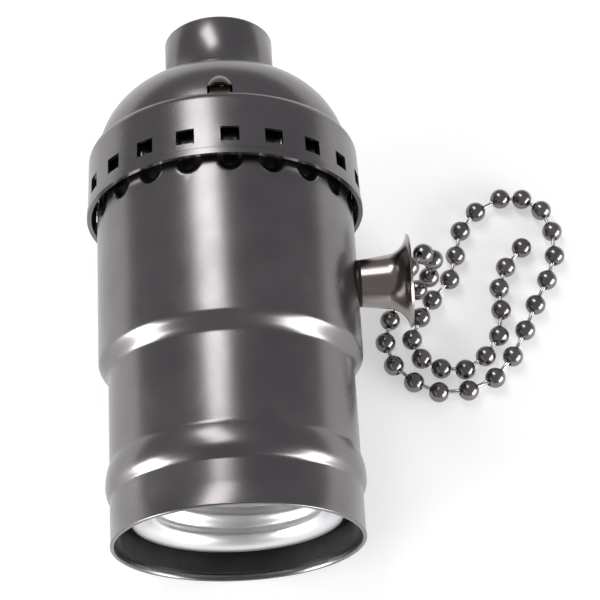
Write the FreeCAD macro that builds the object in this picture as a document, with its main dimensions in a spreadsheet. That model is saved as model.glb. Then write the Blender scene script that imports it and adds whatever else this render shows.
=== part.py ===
import FreeCAD, Part
import math
import os
import re

import Sketcher

# Lamp socket with a pull-chain switch. Each piece is drawn upright in the socket's own frame:
# Z runs along the axis from the lamp mouth (z = 0) to the threaded neck, X points along the bell
# that the chain leaves by, and -Y is the side that faces up when the socket lies down.
# One placement then lays it on its side, on the rim of its cap and the ring near its mouth.

V = FreeCAD.Vector
Placement = FreeCAD.Placement
Rotation = FreeCAD.Rotation

# Each size is a number, or follows from others by the formula given.
SIZES = [
    # cap
    ("cap_room", 0.86, "room between the cap and the shell"),
    ("cap_radius", "shell_upper + cap_room + cap_wall + hem_step", "outer radius of the hemmed rim"),
    ("cap_wall", 0.5, "sheet thickness of the cap"),
    ("cap_overlap", 4.92, "how far the cap reaches over the shell"),
    ("cap_rim_z", "shell_top_z - cap_overlap", "height of the cap's open rim"),
    ("hem_height", 0.9, "height of the hemmed band at the rim"),
    ("hem_step", 0.15, "how far the hem stands out of the skirt"),
    ("skirt_height", 9.22, "height of the skirt"),
    ("skirt_top_z", "cap_rim_z + skirt_height", "where the skirt turns into the shoulder"),
    ("skirt_taper", 0.2, "loss of radius from the hem to the shoulder"),
    ("shoulder_arc", 1.5, "radius of the rounded shoulder"),
    ("shoulder_height", 1.35, "height of the shoulder over the skirt"),
    ("ridge_z", "skirt_top_z + shoulder_height", "height of the crease between shoulder and dome"),
    ("shoulder_width", 1.45, "width of the shoulder"),
    ("ridge_radius", "cap_radius - shoulder_width", "radius of the crease"),
    ("ridge_step", 0.2, "depth of the crease"),
    ("dome_arc", 13.0, "radius of the dome's profile"),
    ("dome_height", 10.55, "height of the dome"),
    ("dome_top_z", "ridge_z + dome_height", "height where the dome turns up to the neck"),
    ("dome_width", 7.9, "width of the dome"),
    ("dome_top_radius", "ridge_radius - dome_width", "radius where the dome turns up to the neck"),
    ("dome_bulge", 1.8, "how far the dome's inner face bulges from a straight line"),
    ("seat_rise", 1.47, "rise from the dome to the neck's seat"),
    ("neck_base_z", "dome_top_z + seat_rise", "height of the flat seat round the neck"),
    ("seat_width", 1.015, "width of the flat seat outside the collar"),
    ("neck_flat_radius", "neck_radius + seat_width", "radius of the flat seat"),
    ("window_count", 20, "lanced windows round the cap, and pockets in the shell"),
    ("window_turn", 5.3, "angle of the first window from the upper side"),
    ("window_width", 2.7, "width of a window"),
    ("window_rise", 2.87, "distance from the rim to the open part of a window"),
    ("window_z", "cap_rim_z + window_rise", "lower edge of the open part of a window"),
    ("window_height", 1.5, "open height of a window"),
    ("tongue_height", 0.85, "height of the tongue under a window"),
    ("tongue_press", 1.3, "how far the tongue's tip is pressed inward"),
    ("hood_turn", 2.0, "angle of the lanced hood from the upper side"),
    ("hood_width", 4.4, "width of the hood at its slot"),
    ("hood_root", 1.6, "how far the hood's middle lies inside the crease"),
    ("hood_lean", 20.0, "angle that the hood leans in with the dome"),
    ("hood_lean_drop", 0.5, "how far the hood's foot dips into its slot"),
    ("hood_height", 3.0, "height of the hood above its slot"),
    ("hood_depth", 1.9, "how far the hood bulges from its root"),
    ("slot_height", 1.6, "height of the slot under the hood"),
    ("slot_width", 3.7, "width of the slot under the hood"),
    # neck collar
    ("neck_radius", 8.385, "outer radius of the neck collar"),
    ("neck_height", 8.51, "height of the collar above its seat"),
    ("neck_bore", 4.46, "bore of the M10 x 1 thread"),
    ("neck_spigot", 6.5, "radius of the collar where it passes the cap"),
    ("neck_flange", 8.0, "radius of the collar's inner flange"),
    ("neck_flange_depth", 1.3, "thickness of the inner flange"),
    ("neck_edge", 0.45, "bevel of the collar's top edge"),
    # shell
    ("step_width", 1.41, "width of the step between the tubes"),
    ("shell_upper", "shell_lower + step_width", "outer radius of the upper tube"),
    ("shell_lower", "screw_minor + cup_room + cup_wall + fit_gap + liner_wall + shell_wall",
     "outer radius of the lower tube"),
    ("shell_wall", 0.5, "sheet thickness of the shell"),
    ("housing_rise", 1.6, "how far the housing stands over the shell"),
    ("shell_top_z", "housing_top_z - housing_rise", "height of the shell's upper edge"),
    ("step_z", "cup_floor_z + floor_thickness - step_height", "lower edge of the step between the tubes"),
    ("step_height", 1.5, "height of the step"),
    ("ring_z", 8.7, "height of the ring's crest"),
    ("ring_rise", 0.62, "how far the ring stands out of the tube"),
    ("ring_below", 2.0, "reach of the ring below its crest"),
    ("ring_above", 3.15, "reach of the ring above its crest"),
    ("mouth_hem", 0.35, "height of the hem at the mouth"),
    ("mouth_hem_step", 0.1, "how far the mouth hem stands out"),
    ("pocket_length", 6.9, "length of the stamped pockets"),
    ("pocket_z", "shell_top_z - pocket_length", "lower end of the stamped pockets"),
    ("pocket_width", 3.7, "width of a pocket"),
    ("pocket_depth", 0.75, "how far a pocket is stamped inward"),
    ("past", 1.0, "how far a cut runs past the face that it opens"),
    # lamp side
    ("liner_z", 1.0, "mouth end of the fibre liner"),
    ("liner_wall", 0.85, "wall of the fibre liner"),
    ("liner_room", 3.0, "distance from the liner to the floor of the lower body"),
    ("liner_top_z", "cup_floor_z - liner_room", "inner end of the fibre liner"),
    ("fit_gap", 0.12, "gap between pieces that are dropped into each other"),
    ("cup_z", 3.85, "mouth end of the lower body, where the screw shell's lip rests"),
    ("cup_room", 1.71, "room between the screw shell and the lower body"),
    ("cup_wall", 2.45, "wall of the lower body round the lamp"),
    ("cup_floor_z", 24.0, "underside of the lower body's floor"),
    ("floor_thickness", 3.0, "thickness of the lower body's floor"),
    ("screw_minor", 12.2, "inner radius of the E27 screw shell at its thread's crests"),
    ("screw_sheet", 0.3, "sheet thickness of the screw shell"),
    ("screw_lip", 2.8, "flare of the screw shell's lip"),
    ("lip_depth", 1.35, "depth of the flare behind the lip"),
    ("screw_hole", 5.0, "radius of the hole in the screw shell's bottom"),
    ("contact_width", 4.4, "width of the centre contact"),
    ("contact_sheet", 0.5, "thickness of the centre contact"),
    ("contact_reach", 3.4, "height of the centre contact's spring"),
    ("contact_gap", 0.15, "distance from the contact's tip to the end of the threaded wall"),
    ("screw_taper", 1.5, "how far the screw shell narrows from its threaded wall to its bottom"),
    ("rivet_radius", 1.0, "shank radius of the rivets"),
    ("rivet_head", 1.8, "head radius of the rivets"),
    ("rivet_room", 0.2, "gap between the shell rivets' heads and the housing"),
    ("rivet_place", "cavity_half_y - rivet_head - rivet_room", "distance of the shell rivets from the axis"),
    # switch housing
    ("pawl_room", 0.6, "gap between the pawl and the roof"),
    ("housing_height", "chain_rise + pivot_rise + pawl_outer + pawl_room + roof",
     "height of the switch housing"),
    ("housing_top_z", "cup_floor_z + floor_thickness + housing_height", "top of the switch housing"),
    ("housing_gap", 0.19, "gap between the housing and the pockets"),
    ("housing_radius", "shell_upper - pocket_depth - shell_wall - housing_gap",
     "radius of the switch housing"),
    ("flange_height", 2.5, "height of the housing's lower flange"),
    ("cavity_half_x", 12.3, "half width of the mechanism space along X"),
    ("cavity_half_y", 10.5, "half width of the mechanism space along Y"),
    ("roof", 5.5, "thickness of the roof over the mechanism"),
    ("cavity_top_z", "housing_top_z - roof", "top of the mechanism space"),
    ("screw_circle", 15.5, "distance of the assembly screws from the axis"),
    ("screw_angle", 70.0, "direction of the first assembly screw"),
    ("screw_shank", 1.25, "shank radius of the assembly screws"),
    ("screw_head", 2.3, "head radius of the assembly screws"),
    ("screw_head_height", 1.6, "head height of the assembly screws"),
    ("screw_bite", 4.5, "length of an assembly screw in the lower body"),
    ("brass", 0.4, "thickness of the contact strips"),
    ("strip_width", 2.0, "width of the contact leaves"),
    ("strap_width", 3.0, "width of the neutral strap"),
    ("plate_size", 5.4, "side of a terminal plate"),
    ("plate_thickness", 0.9, "thickness of a terminal plate"),
    ("terminal_head", 2.9, "head radius of a terminal screw"),
    ("terminal_shank", 1.7, "shank radius of a terminal screw"),
    ("terminal_head_height", 1.9, "head height of a terminal screw"),
    ("terminal_bite", 4.2, "length of a terminal screw in the housing"),
    ("supply_place", 6.6, "distance of the supply leaf's post from the drum"),
    ("strap_place", 3.0, "distance of the neutral strap from the axle"),
    # chain, bell and bush
    ("chain_rise", 12.1, "height of the chain's line over the lower body"),
    ("chain_z", "cup_floor_z + floor_thickness + chain_rise",
     "height of the chain's line and the bell's axis"),
    ("bead_radius", 1.6, "radius of a chain bead"),
    ("chain_pitch", 4.38, "distance from bead to bead in the socket"),
    ("link_radius", 0.4, "radius of a link"),
    ("link_seat", 0.45, "depth of a link's seat in a bead"),
    ("bush_bore", 2.0, "bore of the guide bush"),
    ("bush_radius", 3.0, "outer radius of the guide bush"),
    ("bush_flange", 4.4, "radius of the guide bush's flange"),
    ("bush_flange_depth", 0.6, "thickness of the guide bush's flange"),
    ("bush_grip", 2.3, "length of the bush inside the bell"),
    ("bell_root", 3.55, "outer radius of the bell at its root"),
    ("bell_waist", 4.05, "outer radius of the bell where its flare starts"),
    ("bell_straight", 4.1, "length of the bell before its flare"),
    ("bell_length", 7.0, "length of the bell"),
    ("bell_rim", 7.0, "radius of the bell's rim"),
    ("bell_wall", 0.7, "wall of the bell"),
    ("bell_lip", 0.35, "thickness of the bell's lip"),
    ("flare_arc", 3.4, "radius of the flare's profile"),
    ("washer_radius", 3.5, "radius of the washer under the bell"),
    ("washer_thickness", 0.43, "thickness of the washer under the bell"),
    # pull mechanism
    ("pivot_x", -3.0, "place of the lever's axle along X"),
    ("pivot_rise", 6.0, "distance from the chain's line to the axle"),
    ("pull_travel", 8.0, "travel of the chain"),
    ("axle_radius", 1.5, "radius of the axle"),
    ("running_gap", 0.05, "radial gap on the axle"),
    ("axle_seat", 2.3, "length of the axle in the housing"),
    ("axle_reach", "cavity_half_y + axle_seat", "half length of the axle"),
    ("cheek_gap", 2.8, "half distance between the lever's cheeks"),
    ("cheek_sheet", 0.7, "thickness of a cheek"),
    ("hub_radius", 2.3, "radius of the lever's sleeve"),
    ("cheek_hub", 4.5, "radius of a cheek round the axle"),
    ("arm_width", 4.6, "width of the lever's arm"),
    ("arm_end", 3.3, "length of the lever's arm beyond the chain's line"),
    ("arm_length", "pivot_rise + arm_end", "length of the lever's arm from the axle"),
    ("pin_radius", 0.7, "radius of the clip's cross pin"),
    ("pin_gap", 0.3, "gap on each side of the pin in the lever's slot"),
    ("clip_radius", 2.45, "outer radius of the chain clip"),
    ("clip_front", 5.8, "length of the clip in front of its pin"),
    ("clip_back", 1.6, "length of the clip behind its pin"),
    ("clip_wall", 0.6, "thickness of the clip's front wall"),
    ("spring_radius", 2.2, "mean radius of the return spring"),
    ("spring_wire", 0.22, "radius of the return spring's wire"),
    ("spring_turns", 7, "turns of the return spring"),
    ("spring_seat", 0.31, "distance of the spring's end from what it presses on"),
    ("wheel_gap", 0.6, "gap between the lever and the ratchet wheel"),
    ("wheel_y", "cheek_gap + cheek_sheet + wheel_gap", "near face of the ratchet wheel"),
    ("wheel_sheet", 1.0, "thickness of the ratchet wheel"),
    ("wheel_tip", 5.6, "tip radius of the ratchet wheel"),
    ("wheel_root", 4.6, "root radius of the ratchet wheel"),
    ("tooth_count", 6, "teeth of the ratchet wheel"),
    ("pawl_angle", 66.3, "direction of the pawl's tip from the mouth side"),
    ("pawl_inner", 4.95, "inner reach of the pawl's tip"),
    ("pawl_outer", 6.3, "outer reach of the pawl's tip"),
    ("pawl_sheet", 0.5, "thickness of the pawl"),
    ("pawl_play", 0.4, "angle left between pawl and tooth at full pull"),
    ("drum_radius", 4.9, "radius of the drum under its contacts"),
    ("drum_gap", 0.4, "gap between the drum and the housing"),
    ("drum_length", "cavity_half_y - drum_gap - wheel_y - wheel_sheet", "length of the drum"),
    ("sleeve_sheet", 0.5, "thickness of the drum's contacts"),
    ("sleeve_inset", 0.5, "distance of a drum contact from the drum's end"),
    ("sleeve_length", "drum_length - 2 * sleeve_inset", "length of the drum's contacts"),
    ("sleeve_angle", 104.0, "angle that one drum contact covers"),
    ("contact_lead", 7.0, "angle from the lamp leaf to the end of the contact it rests on"),
    ("leaf_gap", 1.4, "distance of the leaves from the ratchet wheel"),
    ("leaf_y", "wheel_y + wheel_sheet + leaf_gap", "near edge of the contact leaves"),
    # earth terminal
    ("earth_sheet", 0.4, "thickness of the earth strip"),
    ("earth_width", 3.0, "width of the earth strip"),
    ("tab_rise", 3.05, "height of the earth strip's tab over the crease"),
    ("earth_tab_z", "ridge_z + tab_rise", "height of the earth strip's tab"),
    ("earth_slant", 2.3, "how far the earth strip slants inward to its tab"),
    ("earth_reach", 8.0, "length of the earth strip's tab"),
    ("earth_gap", 0.3, "gap between the earth strip and the cap"),
    ("earth_screw_place", 3.0, "distance of the earth screw from the tab's end"),
    ("earth_boss", 0.9, "wall of the threaded boss under the earth screw"),
    ("earth_boss_height", 1.2, "height of the boss under the earth screw"),
    ("earth_screw_length", 2.6, "length of the earth screw under its head"),
]

DOC = FreeCAD.newDocument("pull_chain_socket")
SHEET = DOC.addObject("Spreadsheet::Sheet", "Sizes")
for row, (alias, _, meaning) in enumerate(SIZES, start=1):
    SHEET.set("A%d" % row, alias)
    SHEET.set("C%d" % row, meaning)
    SHEET.setAlias("B%d" % row, alias)
for row, (_, value, _) in enumerate(SIZES, start=1):
    SHEET.set("B%d" % row, "=%s" % value)
DOC.recompute()

ALIASES = {alias for alias, _, _ in SIZES}
NODES = []


def cells(text):
    """An expression in the sheet's terms: each alias in the text gets the sheet's name."""
    return re.sub(r"[a-z][a-z_]*[a-z]", lambda m: "Sizes." + m[0] if m[0] in ALIASES else m[0], str(text))


def size(text):
    """The number that an expression on the sheet gives now."""
    return float(SHEET.evalExpression(cells(text)))


def bind(item, prop, text):
    """Ties a property to the sheet."""
    item.setExpression(prop, cells(text))


def node(item, label, placement):
    """Names a finished sub-part and lays it where it belongs."""
    item.Label = label
    item.Placement = placement
    NODES.append(item)
    return item


# Places shared by several pieces

RING_RADIUS = "(shell_lower + ring_rise)"
NECK_END = "(neck_base_z + neck_height)"
STEP_TOP = "(step_z + step_height)"
FLOOR_TOP = "(cup_floor_z + floor_thickness)"
LINER_RADIUS = "(shell_lower - shell_wall)"
CUP_RADIUS = "(shell_lower - shell_wall - liner_wall - fit_gap)"
PIVOT_Z = "(chain_z + pivot_rise)"
BELL_X = "(shell_upper + washer_thickness)"
BUSH_INNER_X = "(cavity_half_x - bush_flange_depth)"
BORE = "(axle_radius + running_gap)"
SLEEVE_RADIUS = "(drum_radius + sleeve_sheet)"
DRUM_Y = "(wheel_y + wheel_sheet)"

TILT = math.degrees(math.atan2(size("cap_radius - " + RING_RADIUS), size("cap_rim_z - ring_z")))
LAID = Rotation(V(1, 0, 0), TILT - 90)
NECK_FACE = V(0, 0, size(NECK_END))
SOCKET = Placement(LAID.multVec(NECK_FACE) * -1, LAID)
TABLE_Z = SOCKET.multVec(V(0, size("cap_radius"), size("cap_rim_z"))).z

TO_X = Rotation(V(0, 1, 0), 90)
TO_Y = Rotation(V(1, 0, 0), -90)
UPPER_SIDE = -90.0

# Corners of one turn of the spring, and of a bead: sides round it, and the angles of its rings
# from the pole. A faceted bead is swollen a little, so that it has the round bead's volume.
SPRING_CORNERS = 10
BALL_SIDES = 12
BALL_RINGS = (18, 45, 72, 108, 135, 162)
BALL_SWELL = 1.02


def at(x=0.0, y=0.0, z=0.0, turn=Rotation()):
    """A place in the socket's own frame, as a placement in the laid socket."""
    return SOCKET.multiply(Placement(V(x, y, z), turn))


def plane(body, role):
    return next(item for item in body.Origin.OriginFeatures if item.Role == role)


def new_sketch(body, name, role, turn="0"):
    """A sketch on one of the body's own planes, turned about Z where a turn is given."""
    sketch = body.newObject("Sketcher::SketchObject", name)
    sketch.AttachmentSupport = [(plane(body, role), "")]
    sketch.MapMode = "FlatFace"
    sketch.AttachmentOffset = Placement(V(0, 0, 0), Rotation(V(0, 1, 0), size(turn)))
    return sketch


def draw(sketch, corners):
    """A closed outline. A corner is (x, y) in the sheet's terms, or (x, y, radius, side) where an
    arc of that radius leads on to the next corner, with its centre to the left (1) or right (-1)."""
    spots = [V(size(c[0]), size(c[1]), 0) for c in corners]
    first = sketch.GeometryCount
    starts, ends = [], []
    for i, corner in enumerate(corners):
        here, there = spots[i], spots[(i + 1) % len(spots)]
        if len(corner) == 2:
            sketch.addGeometry(Part.LineSegment(here, there), False)
        else:
            chord = there - here
            radius = size(corner[2])
            side = V(-chord.y, chord.x, 0).normalize() * corner[3]
            depth = math.sqrt(radius ** 2 - (chord.Length / 2) ** 2)
            middle = here + chord / 2 + side * (depth - radius)
            sketch.addGeometry(Part.Arc(here, middle, there), False)
        line = first + i
        same = sketch.getPoint(line, 1).distanceToPoint(here) < 1e-6
        starts.append(1 if same else 2)
        ends.append(2 if same else 1)
    for i, corner in enumerate(corners):
        line = first + i
        after = (i + 1) % len(corners)
        sketch.addConstraint(
            Sketcher.Constraint("Coincident", line, ends[i], first + after, starts[after]))
        across = ("DistanceX", -2, corner[0], spots[i].x)
        up = ("DistanceY", -1, corner[1], spots[i].y)
        for kind, axis, text, value in (across, up):
            if abs(value) < 1e-9:
                sketch.addConstraint(Sketcher.Constraint("PointOnObject", line, starts[i], axis))
            else:
                count = sketch.addConstraint(Sketcher.Constraint(kind, -1, 1, line, starts[i], value))
                sketch.setExpression("Constraints[%d]" % count, cells(text))
        if len(corner) > 2:
            count = sketch.addConstraint(Sketcher.Constraint("Radius", line, size(corner[2])))
            sketch.setExpression("Constraints[%d]" % count, cells(corner[2]))


def revolved(name, corners):
    """A body turned about its own Z from half of its section, given as (radius, height)."""
    body = DOC.addObject("PartDesign::Body", name)
    sketch = new_sketch(body, name + "_section", "XZ_Plane")
    draw(sketch, corners)
    turned = body.newObject("PartDesign::Revolution", name + "_turned")
    turned.Profile = sketch
    turned.ReferenceAxis = (sketch, ["V_Axis"])
    turned.Angle = 360
    body.Tip = turned
    DOC.recompute()
    return body


def cut_through(body, name, corners, role, turn, depth):
    """Cuts an outline out of one side of the body, from the middle plane outward."""
    sketch = new_sketch(body, name + "_outline", role, turn)
    draw(sketch, corners)
    pocket = body.newObject("PartDesign::Pocket", name)
    pocket.Profile = sketch
    pocket.Type = 0
    bind(pocket, "Length", depth)
    pocket.Reversed = True
    body.Tip = pocket
    DOC.recompute()
    return pocket


def added(body, name, corners, role, turn, thick):
    """Adds an outline to the body, as thick as given, half on each side of its plane."""
    sketch = new_sketch(body, name + "_outline", role, turn)
    draw(sketch, corners)
    pad = body.newObject("PartDesign::Pad", name)
    pad.Profile = sketch
    pad.Midplane = True
    bind(pad, "Length", thick)
    body.Tip = pad
    DOC.recompute()
    return pad


def cut_along(body, name, corners, turn, thick):
    """Cuts an outline that lies along a radius out of the body, half on each side of its plane."""
    sketch = new_sketch(body, name + "_outline", "XZ_Plane", turn)
    draw(sketch, corners)
    pocket = body.newObject("PartDesign::Pocket", name)
    pocket.Profile = sketch
    pocket.Type = 0
    pocket.Midplane = True
    bind(pocket, "Length", thick)
    body.Tip = pocket
    DOC.recompute()
    return pocket


def round_array(body, name, features):
    """Repeats features round the body's axis, once for each window."""
    array = body.newObject("PartDesign::PolarPattern", name)
    array.Originals = features
    array.Axis = (features[0].Profile[0], ["V_Axis"])
    array.Angle = 360
    bind(array, "Occurrences", "window_count")
    body.Tip = array
    DOC.recompute()
    return array


def solid(kind, name, x=0, y=0, z=0, turn=None, **sizes):
    """A Part primitive whose sizes and place are tied to the sheet."""
    item = DOC.addObject("Part::" + kind, name)
    if turn:
        item.Placement = Placement(V(0, 0, 0), turn)
    for prop, text in sizes.items():
        bind(item, prop, text)
    for axis, text in zip("xyz", (x, y, z)):
        bind(item, "Placement.Base." + axis, str(text))
    return item


def box(name, x, y, z):
    """A block between two corners, each side given as (from, to)."""
    spans = ["(%s) - (%s)" % (b, a) for a, b in (x, y, z)]
    return solid("Box", name, x[0], y[0], z[0], Length=spans[0], Width=spans[1], Height=spans[2])


def rod(name, radius, start, end, first=0, second=0, axis="z"):
    """A round bar along an axis, from start to end, at a place given on the other two axes."""
    along = "(%s) - (%s)" % (end, start)
    place = {"x": (start, first, second), "y": (first, start, second), "z": (first, second, start)}[axis]
    turn = {"x": TO_X, "y": TO_Y, "z": None}[axis]
    return solid("Cylinder", name, *place, turn=turn, Radius=radius, Height=along)


def joined(name, *items):
    """Solids fused into one."""
    item = DOC.addObject("Part::MultiFuse", name)
    item.Shapes = list(items)
    item.Refine = True
    return item


def cut(name, base, *tools):
    """A solid with others cut out of it."""
    item = DOC.addObject("Part::Cut", name)
    item.Base = base
    item.Tool = tools[0] if len(tools) == 1 else joined(name + "_tools", *tools)
    return item


# Cap: drawn sheet with a hemmed rim, a skirt with windows, a crease, a dome and a flat neck seat

def inside_dome(part):
    """A corner of the dome's inner face, that share of the way down from its top."""
    fall = "(dome_top_z - cap_wall - ridge_z)"
    spread = "(ridge_radius - ridge_step - dome_top_radius - cap_wall / 2)"
    chord = "dome_top_radius - cap_wall / 2 + %s * %s" % (spread, part)
    bulge = "dome_bulge * 4 * %s * (1 - %s)" % (part, part)
    return "(%s + %s)" % (chord, bulge), "(dome_top_z - cap_wall - %s * %s)" % (fall, part)


def make_cap():
    skirt = "(cap_radius - hem_step)"
    top = "(cap_radius - hem_step - skirt_taper)"
    inner_top = top[:-1] + " - cap_wall)"
    body = revolved("cap", [
        ("cap_radius", "cap_rim_z"),
        ("cap_radius", "cap_rim_z + hem_height"),
        (skirt, "cap_rim_z + hem_height + hem_step"),
        (top, "skirt_top_z", "shoulder_arc", 1),
        ("ridge_radius", "ridge_z"),
        ("ridge_radius - ridge_step", "ridge_z + ridge_step / 2", "dome_arc", 1),
        ("dome_top_radius", "dome_top_z"),
        ("neck_flat_radius", "neck_base_z"),
        ("neck_spigot + fit_gap / 2", "neck_base_z"),
        ("neck_spigot + fit_gap / 2", "neck_base_z - cap_wall"),
        ("neck_flat_radius - cap_wall / 3", "neck_base_z - cap_wall"),
        ("dome_top_radius - cap_wall / 2", "dome_top_z - cap_wall"),
        inside_dome("0.37"),
        inside_dome("0.7"),
        ("ridge_radius - ridge_step - cap_wall", "ridge_z"),
        ("ridge_radius - cap_wall", "ridge_z - ridge_step"),
        (inner_top, "skirt_top_z"),
        ("cap_radius - hem_step - cap_wall", "cap_rim_z"),
    ])
    turn = "window_turn + %s" % UPPER_SIDE
    half = "window_width / 2"
    low = "window_z - tongue_height"
    window = cut_through(body, "window", [
        (half, low),
        (half, "window_z + window_height"),
        ("-" + half, "window_z + window_height"),
        ("-" + half, low),
    ], "YZ_Plane", turn, "cap_radius + past")
    outer = "(cap_radius - hem_step - cap_wall / 10)"
    inner = "(cap_radius - hem_step - cap_wall + cap_wall / 10)"
    tongue = added(body, "tongue", [
        (inner, low + " - cap_wall / 2"),
        (outer, low + " - cap_wall / 2"),
        (outer, low),
        (outer + " - tongue_press", "window_z"),
        (inner + " - tongue_press", "window_z"),
        (inner, low),
    ], "XZ_Plane", turn, "window_width - 2 * running_gap")
    round_array(body, "windows", [window, tongue])
    hood_turn = "hood_turn + %s" % UPPER_SIDE
    leaning = Rotation(V(0, 1, 0), -size("hood_lean")).multiply(Rotation(V(0, 0, 1), -90))
    foot = V(size("ridge_radius - hood_root"), 0, size("ridge_z + slot_height - hood_lean_drop"))
    round_axis = Placement(V(0, 0, 0), Rotation(V(0, 0, 1), size(hood_turn)))
    root = round_axis.multiply(Placement(foot, leaning))
    skin = ("hood", "Additive", 180, "0")
    hollow = ("hood_hollow", "Subtractive", 360, "cap_wall * 0.8")
    for name, kind, sweep, less in (skin, hollow):
        blister = body.newObject("PartDesign::%sEllipsoid" % kind, name)
        blister.AttachmentSupport = [(plane(body, "XY_Plane"), "")]
        blister.MapMode = "FlatFace"
        blister.AttachmentOffset = root
        bind(blister, "Radius1", "hood_height - " + less)
        bind(blister, "Radius2", "hood_width / 2 - " + less)
        bind(blister, "Radius3", "hood_depth - " + less)
        blister.Angle1 = 0
        blister.Angle2 = 90
        blister.Angle3 = sweep
        body.Tip = blister
        DOC.recompute()
    cut_through(body, "hood_slot", [
        ("slot_width / 2", "ridge_z"),
        ("slot_width / 2", "ridge_z + slot_height"),
        ("-slot_width / 2", "ridge_z + slot_height"),
        ("-slot_width / 2", "ridge_z"),
    ], "YZ_Plane", hood_turn, "cap_radius + past")
    return node(body, "cap", SOCKET)


def make_neck_collar():
    body = revolved("neck", [
        ("neck_bore", "neck_base_z - cap_wall - neck_flange_depth"),
        ("neck_flange", "neck_base_z - cap_wall - neck_flange_depth"),
        ("neck_flange", "neck_base_z - cap_wall"),
        ("neck_spigot", "neck_base_z - cap_wall"),
        ("neck_spigot", "neck_base_z"),
        ("neck_radius", "neck_base_z"),
        ("neck_radius", NECK_END + " - neck_edge"),
        ("neck_radius - neck_edge", NECK_END),
        ("neck_bore", NECK_END),
    ])
    return node(body, "neck_collar", SOCKET)


# Shell: drawn tube with a step, a ring near the mouth, stamped pockets and the hole for the bush

def make_outer_shell():
    lower_arc = "(ring_below ^ 2 + ring_rise ^ 2) / (2 * ring_rise)"
    upper_arc = "(ring_above ^ 2 + ring_rise ^ 2) / (2 * ring_rise)"
    wall = " - shell_wall"
    body = revolved("shell", [
        ("shell_lower + mouth_hem_step", "0"),
        ("shell_lower + mouth_hem_step", "mouth_hem"),
        ("shell_lower", "mouth_hem + mouth_hem_step"),
        ("shell_lower", "ring_z - ring_below", lower_arc, 1),
        (RING_RADIUS, "ring_z", upper_arc, 1),
        ("shell_lower", "ring_z + ring_above"),
        ("shell_lower", "step_z"),
        ("shell_upper", STEP_TOP),
        ("shell_upper", "shell_top_z"),
        ("shell_upper" + wall, "shell_top_z"),
        ("shell_upper" + wall, STEP_TOP + " + shell_wall / 3"),
        ("shell_lower" + wall, "step_z + shell_wall / 3"),
        ("shell_lower" + wall, "ring_z + ring_above"),
        (RING_RADIUS + wall, "ring_z + ring_below / 4"),
        (RING_RADIUS + wall, "ring_z - ring_below / 4"),
        ("shell_lower" + wall, "ring_z - ring_below"),
        ("shell_lower" + wall, "0"),
    ])
    turn = "window_turn + %s" % UPPER_SIDE
    half = "(pocket_width / 2)"
    inner = "(shell_upper - pocket_depth - shell_wall)"
    slope = "pocket_z + pocket_depth"
    stamped = added(body, "stamped", [
        ("shell_upper - shell_wall / 2", "pocket_z - shell_wall"),
        ("shell_upper - shell_wall / 2", "shell_top_z"),
        (inner, "shell_top_z"),
        (inner, slope + " - shell_wall"),
    ], "XZ_Plane", turn, "pocket_width + 1.6 * shell_wall")
    hollow = cut_along(body, "pocket", [
        ("shell_upper + shell_wall", "pocket_z - shell_wall"),
        ("shell_upper + shell_wall", "shell_top_z + past"),
        (inner + " + shell_wall", "shell_top_z + past"),
        (inner + " + shell_wall", slope),
    ], turn, "pocket_width")
    round_array(body, "pockets", [stamped, hollow])
    bush_hole(body)
    return node(body, "outer_shell", SOCKET)


def bush_hole(body):
    """The round hole that the guide bush passes through."""
    sketch = new_sketch(body, "bush_hole_outline", "YZ_Plane")
    radius = size("bush_radius + fit_gap")
    sketch.addGeometry(Part.Circle(V(0, size("chain_z"), 0), V(0, 0, 1), radius), False)
    sketch.addConstraint(Sketcher.Constraint("PointOnObject", 0, 3, -2))
    count = sketch.addConstraint(Sketcher.Constraint("DistanceY", -1, 1, 0, 3, size("chain_z")))
    sketch.setExpression("Constraints[%d]" % count, cells("chain_z"))
    count = sketch.addConstraint(Sketcher.Constraint("Radius", 0, radius))
    sketch.setExpression("Constraints[%d]" % count, cells("bush_radius + fit_gap"))
    pocket = body.newObject("PartDesign::Pocket", "bush_hole")
    pocket.Profile = sketch
    pocket.Type = 0
    bind(pocket, "Length", "shell_upper + past")
    pocket.Reversed = True
    body.Tip = pocket
    DOC.recompute()


# Lamp side: fibre liner, lower body, rolled screw shell, centre contact and their rivets

def make_liner():
    body = revolved("liner", [
        (LINER_RADIUS, "liner_z"),
        (LINER_RADIUS, "liner_top_z"),
        (LINER_RADIUS + " - liner_wall", "liner_top_z"),
        (LINER_RADIUS + " - liner_wall", "liner_z"),
    ])
    return node(body, "insulating_liner", SOCKET)


def make_lower_body():
    inner = "(%s - cup_wall)" % CUP_RADIUS
    shoulder = "(%s - fit_gap)" % LINER_RADIUS
    body = revolved("cup", [
        (inner, "cup_z"),
        (CUP_RADIUS + " - cup_wall / 4", "cup_z"),
        (CUP_RADIUS, "cup_z + cup_wall / 4"),
        (CUP_RADIUS, "liner_top_z"),
        (shoulder, "liner_top_z"),
        (shoulder, FLOOR_TOP),
        ("rivet_radius", FLOOR_TOP),
        ("rivet_radius", "cup_floor_z"),
        (inner, "cup_floor_z"),
    ])
    holes = []
    for sign in (-1, 1):
        holes.append(rod("rivet_hole", "rivet_radius", "cup_floor_z - past", FLOOR_TOP + " + past",
                         "0", "%d * rivet_place" % sign))
        x, y = screw_place(sign)
        bottom = FLOOR_TOP + " - screw_bite"
        holes.append(rod("tapped_hole", "screw_shank", bottom, FLOOR_TOP + " + past", x, y))
    return node(cut("lower", body, *holes), "lower_body", SOCKET)


def screw_place(sign):
    """Where an assembly screw stands, on one side of the axis (1) or the other (-1)."""
    return ("%d * screw_circle * cos(screw_angle * 1deg)" % sign,
            "%d * screw_circle * sin(screw_angle * 1deg)" % sign)


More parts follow.
